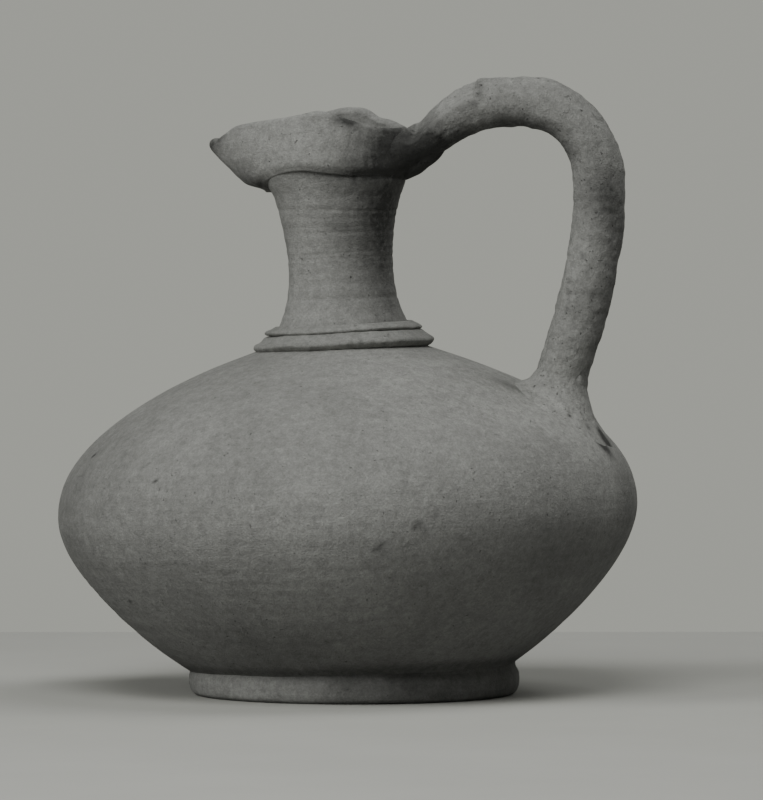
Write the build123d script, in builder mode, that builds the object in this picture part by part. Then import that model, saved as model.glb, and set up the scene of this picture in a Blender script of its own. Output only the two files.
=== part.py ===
import os
from math import acos, cos, radians, sin, tan

from build123d import *

# All lengths are in millimetres and all angles in degrees.
# The origin lies on the resting plane, straight below the middle of the belly.
# +Z is up, the beak points to -X and the handle stands on the +X side.
# The jug is thrown by hand, so body, neck and mouth each lean a little further towards the beak.

# Body: a squat thrown belly, closed but for the hole under the neck
belly_radius = 113.2
belly_height = 72.0
body_lean = 1.9
body_wall = 5.5
base_radius = 56.0
base_height = 6.0
base_flare = 30.0
shoulder_height = 139.6
shoulder_slope = 17.5
shoulder_hole_radius = 20.5

# How full the outline is: the share of its rise or run that each tangent reaches
base_fullness = 0.53
flank_fullness = 0.30
crown_fullness = 0.27
shoulder_fullness = 0.88

# Foot ring under the body
foot_radius = 64.9
foot_width = 14.5
foot_bulge = 1.2
foot_edge_radius = 3.2
foot_inner_edge_radius = 2.0

# Neck: a concave tube that stands on the shoulder, round the hole
neck_lean = 3.0
neck_offset = 0.9
neck_sink = 4.6
neck_foot_radius = 29.5
neck_waist_radius = 20.4
neck_waist_height = 33.0
neck_top_radius = 27.0
neck_length = 65.0
neck_wall = 4.5

# Two clay bands laid over the joint of neck and body, one on the other
lower_band_overhang = 5.9
lower_band_height = 6.2
lower_band_draw = 4.8
lower_band_undercut = 1.2
upper_band_overhang = 1.1
upper_band_height = 2.4
upper_band_roundness = 0.45

# Mouth: a thrown cup pinched to a beak, its heights measured from its joint with the neck
mouth_lean = 5.2
mouth_ledge = 1.4
mouth_swell = 1.3
mouth_draw = 1.3
mouth_wall = 4.6
mouth_arch = 4.6
crest_height = 28.4
crest_setback = 2.0
nape_height = 18.4
lip_radius = 1.2
beak_height = 18.2
beak_overhang = 18.2
beak_tip_radius = 4.4
beak_channel_radius = 2.6
beak_pinch = 1.0
keel_overhang = 2.6
keel_radius = 14.0
keel_swell = 1.0
tip_rise = 3.8
tip_rounding = 5.3

# Handle: a thick coil from the back of the mouth over to the shoulder
handle_thickness = 19.6
handle_width = 21.0
handle_root_height = 9.4
handle_root_slope = 35.0
handle_rise = 31.5
handle_reach = 110.4
handle_elbow_drop = 57.5
handle_foot_inset = 29.6
handle_root_bend = 28.0
handle_top_bend = 33.0
handle_back_bend = 140.0
facet_depth = 2.8
facet_tilt = 35.0

# Clay pressed on where the handle joins the mouth and the shoulder
root_pad_width = 14.0
root_pad_length = 22.0
root_pad_proud = 2.4
shoulder_pad_radius = 24.0
shoulder_pad_overhang = 7.0
shoulder_pad_tip_radius = 15.0
shoulder_pad_shift = 12.0
shoulder_pad_proud = 3.0
shoulder_pad_edge = 3.5

# Lumps that only cut others run this far past what they cut
margin = 8.0


def side_plane(x, z, lean):
    """Side view whose upright passes through x, z and leans towards the beak."""
    across = (cos(radians(lean)), 0, sin(radians(lean)))
    return Plane(origin=(x, 0, z), x_dir=across, z_dir=(0, -1, 0))


def level_plane(side, height):
    """Plane square to the upright of a side view, at a height along it."""
    origin = side.from_local_coords((0, height, 0))
    return Plane(origin=origin, x_dir=side.x_dir, z_dir=side.y_dir)


def upright(side):
    """Axis along the upright of a side view."""
    return Axis(side.origin, side.y_dir)


def teardrop(plane, radius, overhang, tip_radius, pinch=0):
    """Smooth outline of a circle drawn out along -X to a smaller tip, its flanks pinched in."""
    span = radius + overhang - tip_radius
    turn = acos((radius - tip_radius) / span)
    flank_start = Vector(-radius * cos(turn), radius * sin(turn))
    flank_end = Vector(-span - tip_radius * cos(turn), tip_radius * sin(turn))
    flank_middle = (flank_start + flank_end) * 0.5 + Vector(cos(turn), -sin(turn)) * pinch
    back = Vector(radius, 0)
    upper = [back.rotate(Axis.Z, 60), Vector(0, radius), flank_start, flank_middle, flank_end]
    lower = [Vector(point.X, -point.Y) for point in reversed(upper)]
    with BuildSketch(plane) as outline:
        with BuildLine():
            Spline(back, *upper, Vector(-radius - overhang, 0), *lower, periodic=True)
        make_face()
    return outline.sketch


# The body's axis meets the resting plane here, so that the belly stands over the origin
foot_x = belly_height * sin(radians(body_lean))
body_side = side_plane(foot_x, 0, body_lean)


def body_points(inset):
    """Control points of the flank and shoulder curves, set in from the surface by a wall."""
    flare, slope = radians(base_flare), radians(shoulder_slope)
    base = (base_radius - inset * tan(flare / 2), base_height + inset)
    belly = (belly_radius - inset, belly_height)
    hole = (shoulder_hole_radius, shoulder_height - inset / cos(slope))
    base_run = base_fullness * (belly[0] - base[0])
    shoulder_run = shoulder_fullness * (belly[0] - hole[0])
    flank = (
        base,
        (base[0] + base_run, base[1] + base_run * tan(flare)),
        (belly[0], belly[1] - flank_fullness * (belly[1] - base[1])),
        belly,
    )
    shoulder = (
        belly,
        (belly[0], belly[1] + crown_fullness * (hole[1] - belly[1])),
        (hole[0] + shoulder_run, hole[1] - shoulder_run * tan(slope)),
        hole,
    )
    return flank, shoulder


flank_points, shoulder_points = body_points(0)
inner_flank_points, inner_shoulder_points = body_points(body_wall)

# Body without its hollow, which also trims everything that is laid on it
with BuildPart() as body_lump:
    with BuildSketch(body_side):
        with BuildLine():
            Line((0, base_height), flank_points[0])
            Bezier(*flank_points)
            shoulder_curve = Bezier(*shoulder_points)
            Line(shoulder_points[-1], (0, shoulder_height))
            Line((0, shoulder_height), (0, base_height))
        make_face()
    revolve(axis=upright(body_side))

with BuildPart() as body:
    with BuildSketch(body_side):
        with BuildLine():
            Line((0, base_height), flank_points[0])
            Bezier(*flank_points)
            Bezier(*shoulder_points)
            Line(shoulder_points[-1], inner_shoulder_points[-1])
            Bezier(*inner_shoulder_points)
            Bezier(*inner_flank_points)
            Line(inner_flank_points[0], (0, base_height + body_wall))
            Line((0, base_height + body_wall), (0, base_height))
        make_face()
    revolve(axis=upright(body_side))
body.part.label = "body"

# Foot ring: level on the table, its top shaped to the leaning body
foot_side = side_plane(foot_x, 0, 0)
foot_visible_height = base_height + max(foot_radius - base_radius, 0) * tan(radians(base_flare))
foot_top = foot_visible_height + foot_radius * sin(radians(body_lean)) + margin
foot_inner_radius = foot_radius - foot_width
foot_plain_radius = foot_radius - foot_bulge

with BuildPart() as foot_ring:
    with BuildSketch(foot_side):
        with BuildLine():
            Line((foot_inner_radius, 0), (foot_plain_radius, 0))
            ThreePointArc(
                (foot_plain_radius, 0),
                (foot_radius, foot_visible_height / 2),
                (foot_plain_radius, foot_visible_height),
            )
            Line((foot_plain_radius, foot_visible_height), (foot_plain_radius, foot_top))
            Line((foot_plain_radius, foot_top), (foot_inner_radius, foot_top))
            Line((foot_inner_radius, foot_top), (foot_inner_radius, 0))
        make_face()
    revolve(axis=upright(foot_side))
    resting_circles = foot_ring.edges().filter_by(GeomType.CIRCLE).group_by(Axis.Z)[0]
    fillet(resting_circles.sort_by(SortBy.RADIUS)[-1], min(foot_edge_radius, 0.4 * foot_visible_height))
    resting_circles = foot_ring.edges().filter_by(GeomType.CIRCLE).group_by(Axis.Z)[0]
    fillet(resting_circles.sort_by(SortBy.RADIUS)[0], min(foot_inner_edge_radius, 0.4 * foot_width))
    add(body_lump.part, mode=Mode.SUBTRACT)
foot_ring.part.label = "foot_ring"

# Neck: its own upright starts just under the hole's edge
neck_root = body_side.from_local_coords((0, shoulder_height - neck_sink, 0))
neck_side = side_plane(neck_root.X + neck_offset, neck_root.Z, neck_lean)
mouth_root = neck_side.from_local_coords((0, neck_length, 0))
mouth_side = side_plane(mouth_root.X, mouth_root.Z, mouth_lean)


def neck_column(inset):
    """Concave round column through foot, waist and top, set in from the surface by a wall."""
    foot = (neck_foot_radius - inset, 0)
    waist = (neck_waist_radius - inset, neck_waist_height)
    top = (neck_top_radius - inset, neck_length)
    high = neck_length + mouth_arch + margin
    with BuildPart() as column:
        with BuildSketch(neck_side):
            with BuildLine():
                Line((0, -margin), (foot[0], -margin))
                Line((foot[0], -margin), foot)
                TangentArc(waist, foot, tangent=(0, -1))
                TangentArc(waist, top, tangent=(0, 1))
                Line(top, (top[0], high))
                Line((top[0], high), (0, high))
                Line((0, high), (0, -margin))
            make_face()
        revolve(axis=upright(neck_side))
    return column.part


neck_lump = neck_column(0)
neck_bore = neck_column(neck_wall)

# The mouth's joint with the neck arches up at both sides, where the cup is pinched
mouth_base_radius = neck_top_radius + mouth_ledge
mouth_radius = mouth_base_radius + mouth_swell
mouth_lip_radius = mouth_radius - mouth_draw
beak_reach = mouth_radius + beak_overhang
far = 2 * beak_reach

with BuildPart() as above_joint:
    with BuildSketch(mouth_side):
        with BuildLine():
            Line((-far, 0), (-mouth_base_radius, 0))
            ThreePointArc((-mouth_base_radius, 0), (-neck_wall, mouth_arch), (mouth_radius, 0))
            Line((mouth_radius, 0), (far, 0))
            Line((far, 0), (far, far))
            Line((far, far), (-far, far))
            Line((-far, far), (-far, 0))
        make_face()
    extrude(amount=far, both=True)

with BuildPart() as neck:
    add(neck_lump)
    add(neck_bore, mode=Mode.SUBTRACT)
    add(body_lump.part, mode=Mode.SUBTRACT)
    add(above_joint.part, mode=Mode.SUBTRACT)
neck.part.label = "neck"

# Lower clay band: lies on the shoulder round the neck
lower_band_radius = neck_foot_radius + lower_band_overhang
lower_band_crown = lower_band_radius - lower_band_draw
lower_band_root = lower_band_radius - lower_band_undercut

with BuildPart() as collar_lower:
    with BuildSketch(neck_side):
        with BuildLine():
            Line((0, -margin), (lower_band_root, -margin))
            Line((lower_band_root, -margin), (lower_band_root, 0))
            Bezier(
                (lower_band_root, 0),
                (lower_band_radius + lower_band_undercut, 0),
                (lower_band_radius, lower_band_height / 2),
                (lower_band_crown, lower_band_height),
            )
            Line((lower_band_crown, lower_band_height), (0, lower_band_height))
            Line((0, lower_band_height), (0, -margin))
        make_face()
    revolve(axis=upright(neck_side))
    add(neck_lump, mode=Mode.SUBTRACT)
    add(body_lump.part, mode=Mode.SUBTRACT)
collar_lower.part.label = "collar_lower"

# Upper clay band: lies on the lower one
upper_band_radius = neck_foot_radius + upper_band_overhang
upper_band_crown = upper_band_radius - upper_band_roundness * upper_band_height
upper_band_top = lower_band_height + upper_band_height

with BuildPart() as collar_upper:
    with BuildSketch(neck_side):
        with BuildLine():
            Line((0, lower_band_height), (upper_band_crown, lower_band_height))
            ThreePointArc(
                (upper_band_crown, lower_band_height),
                (upper_band_radius, lower_band_height + upper_band_height / 2),
                (upper_band_crown, upper_band_top),
            )
            Line((upper_band_crown, upper_band_top), (0, upper_band_top))
            Line((0, upper_band_top), (0, lower_band_height))
        make_face()
    revolve(axis=upright(neck_side))
    add(neck_lump, mode=Mode.SUBTRACT)
collar_upper.part.label = "collar_upper"


def mouth_form(inset, tip_radius, low_outline):
    """Smooth form from a low outline through the keel and the beak to the lip, all inset alike."""
    keel_tip = (keel_radius - inset + tip_radius) / 2
    keel_reach = (keel_overhang + beak_overhang) / 2 + keel_swell
    top = crest_height + margin / 4
    with BuildPart() as form:
        loft(
            [
                low_outline,
                teardrop(
                    level_plane(mouth_side, beak_height / 2), mouth_radius - inset, keel_reach, keel_tip
                ),
                teardrop(
                    level_plane(mouth_side, beak_height),
                    mouth_radius - inset,
                    beak_overhang,
                    tip_radius,
                    beak_pinch,
                ),
                teardrop(
                    level_plane(mouth_side, top + inset / 4),
                    mouth_lip_radius - inset,
                    beak_overhang - mouth_draw,
                    tip_radius,
                    beak_pinch,
                ),
            ]
        )
    return form.part


# Mouth: outer form from the keel to the lip
keel_plane = level_plane(mouth_side, -margin / 8)
mouth_lump = mouth_form(
    0, beak_tip_radius, teardrop(keel_plane, mouth_base_radius, keel_overhang, keel_radius)
)

# Basin inside the cup: starts round within the neck's bore, ends as a narrow channel in the beak
bore_radius = neck_top_radius - neck_wall
basin_plane = level_plane(mouth_side, margin / 8)
with BuildPart() as basin:
    add(
        mouth_form(
            mouth_wall,
            beak_channel_radius,
            teardrop(basin_plane, 0.95 * bore_radius, 0.02 * bore_radius, 0.9 * bore_radius),
        )
    )
    with BuildSketch(level_plane(mouth_side, -margin)):
        Circle(bore_radius)
    extrude(amount=margin + mouth_arch)

# Everything above the rim: it climbs from the tip to the crest and dips to the handle
with BuildPart() as above_rim:
    with BuildSketch(mouth_side):
        with BuildLine():
            rim_start = (-beak_reach - margin, beak_height - margin / 4)
            rim_end = (mouth_radius + margin, nape_height)
            dip_x = (crest_setback + mouth_radius) / 2
            dip_height = (crest_height + nape_height - lip_radius) / 2
            Spline(
                rim_start,
                (-beak_reach + tip_rounding, beak_height + tip_rise),
                (-beak_reach / 2, crest_height - lip_radius),
                (crest_setback, crest_height),
                (dip_x, dip_height),
                (mouth_radius, nape_height),
                rim_end,
            )
            Line(rim_end, (rim_end[0], far))
            Line((rim_end[0], far), (rim_start[0], far))
            Line((rim_start[0], far), rim_start)
        make_face()
    extrude(amount=far, both=True)

with BuildPart() as beak_mouth:
    add(mouth_lump)
    add(above_joint.part, mode=Mode.INTERSECT)
    add(basin.part, mode=Mode.SUBTRACT)
    add(above_rim.part, mode=Mode.SUBTRACT)
    rim_faces = beak_mouth.faces().filter_by(GeomType.EXTRUSION)
    fillet(ShapeList(set(rim_faces.edges())), lip_radius)
beak_mouth.part.label = "beak_mouth"


def shoulder_share(radius):
    """Share of the shoulder curve, from the belly up, at which it has this radius."""
    low, high = 0.0, 1.0
    while high - low > 1e-6:
        middle = (low + high) / 2
        if (shoulder_curve @ middle).X > radius:
            low = middle
        else:
            high = middle
    return low


def shoulder_point(radius):
    """Point of the shoulder on the handle's side, at this distance from the body's axis."""
    point = shoulder_curve @ shoulder_share(radius)
    return body_side.from_local_coords((point.X, point.Y, 0))


def turn_tangent(before, corner, after):
    """Length that a bend of radius one takes from each of the two runs at a corner."""
    return tan(radians((corner - before).get_angle(after - corner)) / 2)


# Handle: corners of the coil's axis, from the back wall of the mouth to the shoulder
handle_root = mouth_side.from_local_coords((mouth_radius, handle_root_height, 0))
climb = Vector(cos(radians(handle_root_slope)), 0, sin(radians(handle_root_slope)))
top_z = mouth_root.Z + handle_rise
top_start = handle_root + climb * ((top_z - handle_root.Z) / climb.Z)
back_x = handle_reach - handle_thickness / 2
top_corner = Vector(back_x, 0, top_z)
elbow = Vector(back_x, 0, top_z - handle_elbow_drop)
handle_foot_radius = belly_radius - handle_foot_inset
handle_foot = shoulder_point(handle_foot_radius)
coil_start = handle_root - climb * handle_thickness
coil_end = handle_foot + (handle_foot - elbow).normalized() * handle_thickness

# The bends keep their sizes as long as their tangents fit the runs between the corners
route = [coil_start, top_start, top_corner, elbow, coil_end]
bends = [handle_root_bend, handle_top_bend, handle_back_bend]
tangents = [turn_tangent(*route[i : i + 3]) * bend for i, bend in enumerate(bends)]
taken = [near + far_end for near, far_end in zip([0, *tangents], [*tangents, 0])]
runs = [(after - before).length for before, after in zip(route, route[1:])]
bend_fit = min(1.0, min(0.98 * run / length for run, length in zip(runs, taken)))

with BuildPart() as coil:
    with BuildLine() as coil_axis:
        FilletPolyline(*route, radius=[bend * bend_fit for bend in bends])
    with BuildSketch(Plane(origin=coil_axis.line @ 0, x_dir=(0, 1, 0), z_dir=coil_axis.line % 0)):
        Ellipse(handle_width / 2, handle_thickness / 2)
    sweep(path=coil_axis.line)

# Flat that a thumb pressed on the near upper side of the coil, over its root
facet_normal = Vector(
    -climb.Z * cos(radians(facet_tilt)),
    -sin(radians(facet_tilt)),
    climb.X * cos(radians(facet_tilt)),
)
facet_origin = handle_root + facet_normal * (handle_thickness / 2 - facet_depth)

with BuildPart() as handle:
    add(coil.part)
    with BuildSketch(Plane(origin=facet_origin, x_dir=climb, z_dir=facet_normal)):
        Rectangle(far, far)
    extrude(amount=handle_thickness, mode=Mode.SUBTRACT)
    add(mouth_lump, mode=Mode.SUBTRACT)
    add(neck_lump, mode=Mode.SUBTRACT)
    add(body_lump.part, mode=Mode.SUBTRACT)
handle.part.label = "handle"

# Root pad: a short roll of clay pressed up under the handle where it leaves the mouth
under = Vector(climb.Z, 0, -climb.X)
root_pad_radius = root_pad_width / 2
root_pad_drop = handle_thickness / 2 + root_pad_proud - root_pad_radius
root_pad_start = handle_root + under * root_pad_drop - climb * root_pad_width
root_pad_run = root_pad_width + root_pad_length - root_pad_radius
root_pad_end = root_pad_run + root_pad_radius

with BuildPart() as handle_root_pad:
    with BuildSketch(Plane(origin=root_pad_start, x_dir=climb, z_dir=(0, -1, 0))):
        with BuildLine():
            Line((0, 0), (0, root_pad_radius))
            Line((0, root_pad_radius), (root_pad_run, root_pad_radius))
            TangentArc((root_pad_run, root_pad_radius), (root_pad_end, 0), tangent=(1, 0))
            Line((root_pad_end, 0), (0, 0))
        make_face()
    revolve(axis=Axis(root_pad_start, climb))
    add(coil.part, mode=Mode.SUBTRACT)
    add(mouth_lump, mode=Mode.SUBTRACT)
    add(neck_lump, mode=Mode.SUBTRACT)
handle_root_pad.part.label = "handle_root_pad"

# Shoulder pad: the coil's foot smeared out into a fan down the shoulder
pad_middle_radius = handle_foot_radius + shoulder_pad_shift
pad_slope = shoulder_curve % shoulder_share(pad_middle_radius)
downhill = body_side.x_dir * -pad_slope.X + body_side.y_dir * -pad_slope.Y
outward = body_side.x_dir * pad_slope.Y + body_side.y_dir * -pad_slope.X


def pad_outline(height, spread):
    """Outline of the fan at a height over the shoulder, grown all round by a spread."""
    origin = shoulder_point(pad_middle_radius) + outward * height
    return teardrop(
        Plane(origin=origin, x_dir=downhill, z_dir=outward),
        shoulder_pad_radius + spread,
        shoulder_pad_overhang,
        shoulder_pad_tip_radius + spread,
    )


with BuildPart() as handle_shoulder_pad:
    loft(
        [
            pad_outline(-2 * shoulder_pad_edge, shoulder_pad_edge),
            pad_outline(0, -shoulder_pad_edge),
            pad_outline(shoulder_pad_proud, -3 * shoulder_pad_edge),
        ]
    )
    add(body_lump.part, mode=Mode.SUBTRACT)
    add(coil.part, mode=Mode.SUBTRACT)
handle_shoulder_pad.part.label = "handle_shoulder_pad"

pieces = [
    body,
    foot_ring,
    neck,
    collar_lower,
    collar_upper,
    beak_mouth,
    handle,
    handle_root_pad,
    handle_shoulder_pad,
]
os.makedirs("parts", exist_ok=True)
for piece in pieces:
    export_step(piece.part, f"parts/{piece.part.label}.step")
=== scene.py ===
import bpy
import numpy as np
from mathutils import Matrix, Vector


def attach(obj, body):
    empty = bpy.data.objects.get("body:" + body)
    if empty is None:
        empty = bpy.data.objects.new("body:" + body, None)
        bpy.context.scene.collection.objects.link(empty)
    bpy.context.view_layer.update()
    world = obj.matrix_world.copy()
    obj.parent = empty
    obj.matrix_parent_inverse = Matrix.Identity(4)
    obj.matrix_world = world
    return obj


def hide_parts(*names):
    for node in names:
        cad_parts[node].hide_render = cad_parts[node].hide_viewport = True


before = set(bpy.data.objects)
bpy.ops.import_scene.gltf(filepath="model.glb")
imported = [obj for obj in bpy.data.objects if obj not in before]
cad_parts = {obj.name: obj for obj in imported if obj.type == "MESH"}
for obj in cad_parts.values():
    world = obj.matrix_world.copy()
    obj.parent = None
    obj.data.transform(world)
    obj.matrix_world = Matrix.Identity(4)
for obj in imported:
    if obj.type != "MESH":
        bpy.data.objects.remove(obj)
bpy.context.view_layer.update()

# Shapes are worked out in millimetres and become meshes in metres.
# The beak points to -X, the handle stands on the +X side and the near side is -Y.
MM = 0.001
TURN = 2 * np.pi

# View: the photograph's frame, scale, angle and eye
PHOTO_WIDTH, PHOTO_HEIGHT = 763, 800
PIXEL = 0.39
AXIS_PIXEL, TABLE_PIXEL = 347.7, 694.0
VIEW_TURN = np.radians(13.0)
VIEW_DISTANCE = 3500.0
EYE_HEIGHT = 245.0
SENSOR = 36.0
VIEW_RIGHT = np.array([np.cos(VIEW_TURN), np.sin(VIEW_TURN), 0.0])
VIEW_NEAR = np.array([np.sin(VIEW_TURN), -np.cos(VIEW_TURN), 0.0])
UP = np.array([0.0, 0.0, 1.0])
SIDEWAYS = np.array([0.0, 1.0, 0.0])


def in_view(right, up, near=0.0):
    """Room point at these distances to the right, up and towards the eye from the jug's origin."""
    return Vector((right * VIEW_RIGHT + up * UP + near * VIEW_NEAR) * MM)


lens = bpy.data.cameras.new("photo_view")
lens.sensor_fit = "HORIZONTAL"
lens.sensor_width = SENSOR
lens.lens = SENSOR * VIEW_DISTANCE / (PHOTO_WIDTH * PIXEL)
eye = bpy.data.objects.new("photo_view", lens)
eye.location = in_view(0, EYE_HEIGHT, VIEW_DISTANCE)
aim = in_view((PHOTO_WIDTH / 2 - AXIS_PIXEL) * PIXEL, (TABLE_PIXEL - PHOTO_HEIGHT / 2) * PIXEL)
eye.rotation_euler = (aim - eye.location).to_track_quat("-Z", "Y").to_euler()
bpy.context.scene.collection.objects.link(eye)
bpy.context.scene.camera = eye


# Curves, frames and noise that the pieces share
def through(stations, values, at):
    """Cubic pieces through given values, each slope at a station taken from its neighbours."""
    stations, values = np.asarray(stations, float), np.asarray(values, float)
    slope = np.gradient(values, stations, axis=0)
    at = np.clip(at, stations[0], stations[-1])
    i = np.clip(np.searchsorted(stations, at, side="right") - 1, 0, len(stations) - 2)
    step = stations[i + 1] - stations[i]
    s = (at - stations[i]) / step
    if values.ndim > 1:
        s, step = s[..., None], step[..., None]
    rest = 1 - s
    start = (1 + 2 * s) * rest**2 * values[i] + s * rest**2 * step * slope[i]
    end = s**2 * (3 - 2 * s) * values[i + 1] - s**2 * rest * step * slope[i + 1]
    return start + end


def lengths(points):
    """How far along a line each of its points lies: the running sum of the steps between them."""
    return np.concatenate([[0], np.cumsum(np.linalg.norm(np.diff(points, axis=0), axis=1))])


def evenly(points, count):
    """The same line with this many points, spaced evenly along its length."""
    length = lengths(points)
    at = np.linspace(0, length[-1], count)
    return np.stack([np.interp(at, length, values) for values in points.T], 1)


def smoothed(points, samples, count):
    """Cubic pieces through given points, sampled along their length and then spaced evenly."""
    along = lengths(points)
    return evenly(through(along, points, np.linspace(0, along[-1], samples)), count)


def bezier(points, count):
    """Cubic Bezier curve: four points times (1-t)^3, 3t(1-t)^2, 3t^2(1-t) and t^3."""
    t = np.linspace(0, 1, count)[:, None]
    shares = ((1 - t) ** 3, 3 * t * (1 - t) ** 2, 3 * t**2 * (1 - t), t**3)
    return sum(share * np.array(point) for share, point in zip(shares, points))


def round_points(radius, angle, height):
    """Points whose x and y are radius times cos and sin of the angle, at their height."""
    x, y = radius * np.cos(angle), radius * np.sin(angle)
    return np.stack(np.broadcast_arrays(x, y, height), -1)


def ease(low, high, value):
    """0 below low, 1 above high and 3s^2 - 2s^3 between them."""
    s = np.clip((value - low) / (high - low), 0, 1)
    return s * s * (3 - 2 * s)


def leaning(x, z, lean):
    """Upright through x, z that leans towards the beak: its foot, level direction and rise."""
    tilt = np.radians(lean)
    level = np.array([np.cos(tilt), 0, np.sin(tilt)])
    rise = np.array([-np.sin(tilt), 0, np.cos(tilt)])
    return np.array([x, 0, z]), level, rise


def placed(upright, x, y, height):
    """Room points: foot plus x along the level direction, y along Y and height along the rise."""
    foot, level, rise = upright
    x, y, height = np.broadcast_arrays(x, y, height)
    return foot + x[..., None] * level + y[..., None] * SIDEWAYS + height[..., None] * rise


def measured(upright, points):
    """The reverse of placed: x, y and height of room points in an upright's frame."""
    foot, level, rise = upright
    offset = points - foot
    return offset @ level, offset[..., 1], offset @ rise


def drift(points, size, seed, waves=20):
    """Smooth noise of spread one: cosine waves of about this size, summed in random directions."""
    draw = np.random.default_rng(seed)
    way = draw.normal(size=(waves, 3))
    way /= np.linalg.norm(way, axis=1, keepdims=True)
    way *= TURN / (size * draw.uniform(0.7, 1.6, (waves, 1)))
    return np.cos(points @ way.T + draw.uniform(0, TURN, waves)).sum(-1) * np.sqrt(2 / waves)


def wheel_lines(height, angle, seed, low, high, count, depth, width):
    """Ring grooves at random heights: each a Gaussian across, strong on one side of the pot."""
    draw = np.random.default_rng(seed)
    total = np.zeros(np.broadcast(height, angle).shape)
    for _ in range(count):
        at, spread = draw.uniform(low, high), width * draw.uniform(0.5, 1.6)
        side, slope = draw.uniform(0, TURN), draw.uniform(-0.6, 0.6)
        strength = depth * draw.uniform(0.2, 1.0) * (0.55 + 0.45 * np.cos(angle - side))
        total -= strength * np.exp(-(((height - at - slope * np.cos(angle)) / spread) ** 2))
    return total


def reached(points, direction, outside, far):
    """Points moved along a direction until outside() turns positive, found by halving the way."""
    low, high = np.zeros(len(points)), np.full(len(points), float(far))
    for _ in range(24):
        middle = (low + high) / 2
        beyond = outside(points + middle[:, None] * direction) > 0
        low, high = np.where(beyond, low, middle), np.where(beyond, middle, high)
    return points + low[:, None] * direction


def turned(upright, profile, columns, relief=None):
    """Profile of radius and height turned round an upright: radius times cos and sin of an angle.
    The relief, a function of radius, height and angle, moves points along the profile's normal."""
    angle = np.arange(columns)[None] * TURN / columns
    tangent = np.gradient(profile, axis=0)
    tangent /= np.linalg.norm(tangent, axis=1, keepdims=True) + 1e-9
    radius, height = profile[:, :1], profile[:, 1:]
    lift = relief(radius, height, angle) if relief else 0
    around = radius + lift * tangent[:, 1:]
    height = height - lift * tangent[:, :1]
    return placed(upright, around * np.cos(angle), around * np.sin(angle), height)


# Meshes
def clay(name, node, slot, grid, grain, stain_and_painted_light=None, ring=False):
    """Closed mesh over a grid whose columns close round. Its rows close too, or end in two poles.
    grain holds the place that the fine streaks follow, and the stain values how much dark marks,
    pits and painted shade darken each point, or below zero how much painted light lightens it."""
    rows, columns = grid.shape[:2]
    stain_and_painted_light = np.zeros((rows, columns)) if stain_and_painted_light is None else np.broadcast_to(stain_and_painted_light, (rows, columns))
    index = np.arange(rows * columns).reshape(rows, columns)
    points, grain, stain_and_painted_light = grid.reshape(-1, 3), grain.reshape(-1, 3), stain_and_painted_light.reshape(-1)
    triangles = np.zeros((0, 3), int)
    if ring:
        index = np.vstack([index, index[:1]])
    else:
        first, last = rows * columns, rows * columns + 1
        ends = [grid[0].mean(0), grid[-1].mean(0)]
        points = np.vstack([points, ends])
        grain = np.vstack([grain, grain[:columns].mean(0), grain[-columns:].mean(0)])
        stain_and_painted_light = np.concatenate([stain_and_painted_light, [0, 0]])
        step = np.roll(index, -1, axis=1)
        start = np.stack([np.full(columns, first), step[0], index[0]], 1)
        end = np.stack([np.full(columns, last), index[-1], step[-1]], 1)
        triangles = np.vstack([start, end])
    step = np.roll(index, -1, axis=1)
    quads = np.stack([index[:-1], step[:-1], step[1:], index[1:]], -1).reshape(-1, 4)
    a, b, c, d = (points[quads[:, k]] for k in range(4))
    volume = (np.cross(b, c) * a).sum() + (np.cross(c, d) * a).sum()
    a, b, c = (points[triangles[:, k]] for k in range(3))
    volume += (np.cross(b, c) * a).sum()
    if volume < 0:
        quads, triangles = quads[:, ::-1], triangles[:, ::-1]
    mesh = bpy.data.meshes.new(name)
    mesh.from_pydata((points * MM).tolist(), [], quads.tolist() + triangles.tolist())
    places = mesh.attributes.new("grain", "FLOAT_VECTOR", "POINT")
    places.data.foreach_set("vector", (grain * MM).ravel())
    mesh.attributes.new("stain_and_painted_light", "FLOAT", "POINT").data.foreach_set("value", stain_and_painted_light)
    mesh.shade_smooth()
    mesh.update()
    piece = bpy.data.objects.new(name, mesh)
    bpy.context.scene.collection.objects.link(piece)
    piece.data.materials.append(FINISHES[slot])
    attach(piece, "root")
    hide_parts(node)
    return piece


def seen(points):
    """The photograph's pixel of room points, and how near each lies to the eye."""
    near = points @ VIEW_NEAR
    shrink = VIEW_DISTANCE / (VIEW_DISTANCE - near) / PIXEL
    across = AXIS_PIXEL + (points @ VIEW_RIGHT) * shrink
    down = TABLE_PIXEL - (EYE_HEIGHT / PIXEL) - (points @ UP - EYE_HEIGHT) * shrink
    return across, down, near


FRONT_FIRST = 0.6


def spots(grid, places):
    """Sum of strength times exp(-(distance / reach)^2) round the point of the grid that the eye
    sees at each listed pixel: across, down, reach in millimetres and strength. Of the points at
    about one pixel the front one counts, as a millimetre nearer makes up for 0.6 of a pixel."""
    across, down, near = seen(grid)
    total = np.zeros(grid.shape[:-1])
    for at_across, at_down, reach, strength in places:
        miss = np.hypot(across - at_across, down - at_down)
        middle = grid.reshape(-1, 3)[np.argmin(miss - FRONT_FIRST * near)]
        total += strength * np.exp(-((np.linalg.norm(grid - middle, axis=-1) / reach) ** 2))
    return total


# Finishes
def node(tree, kind, inputs=None, **settings):
    """Adds a shader node, sets its settings, and fills its inputs with values or links."""
    made = tree.nodes.new(kind)
    for key, value in settings.items():
        setattr(made, key, value)
    for key, value in (inputs or {}).items():
        if isinstance(value, bpy.types.NodeSocket):
            tree.links.new(value, made.inputs[key])
        else:
            made.inputs[key].default_value = value
    return made


def noise(tree, place, scale, detail=4.0, roughness=0.6):
    """Value of a fractal noise of this many lumps a metre."""
    made = node(tree, "ShaderNodeTexNoise", {"Vector": place, "Scale": scale, "Detail": detail})
    made.inputs["Roughness"].default_value = roughness
    return made.outputs["Fac"]


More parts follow.
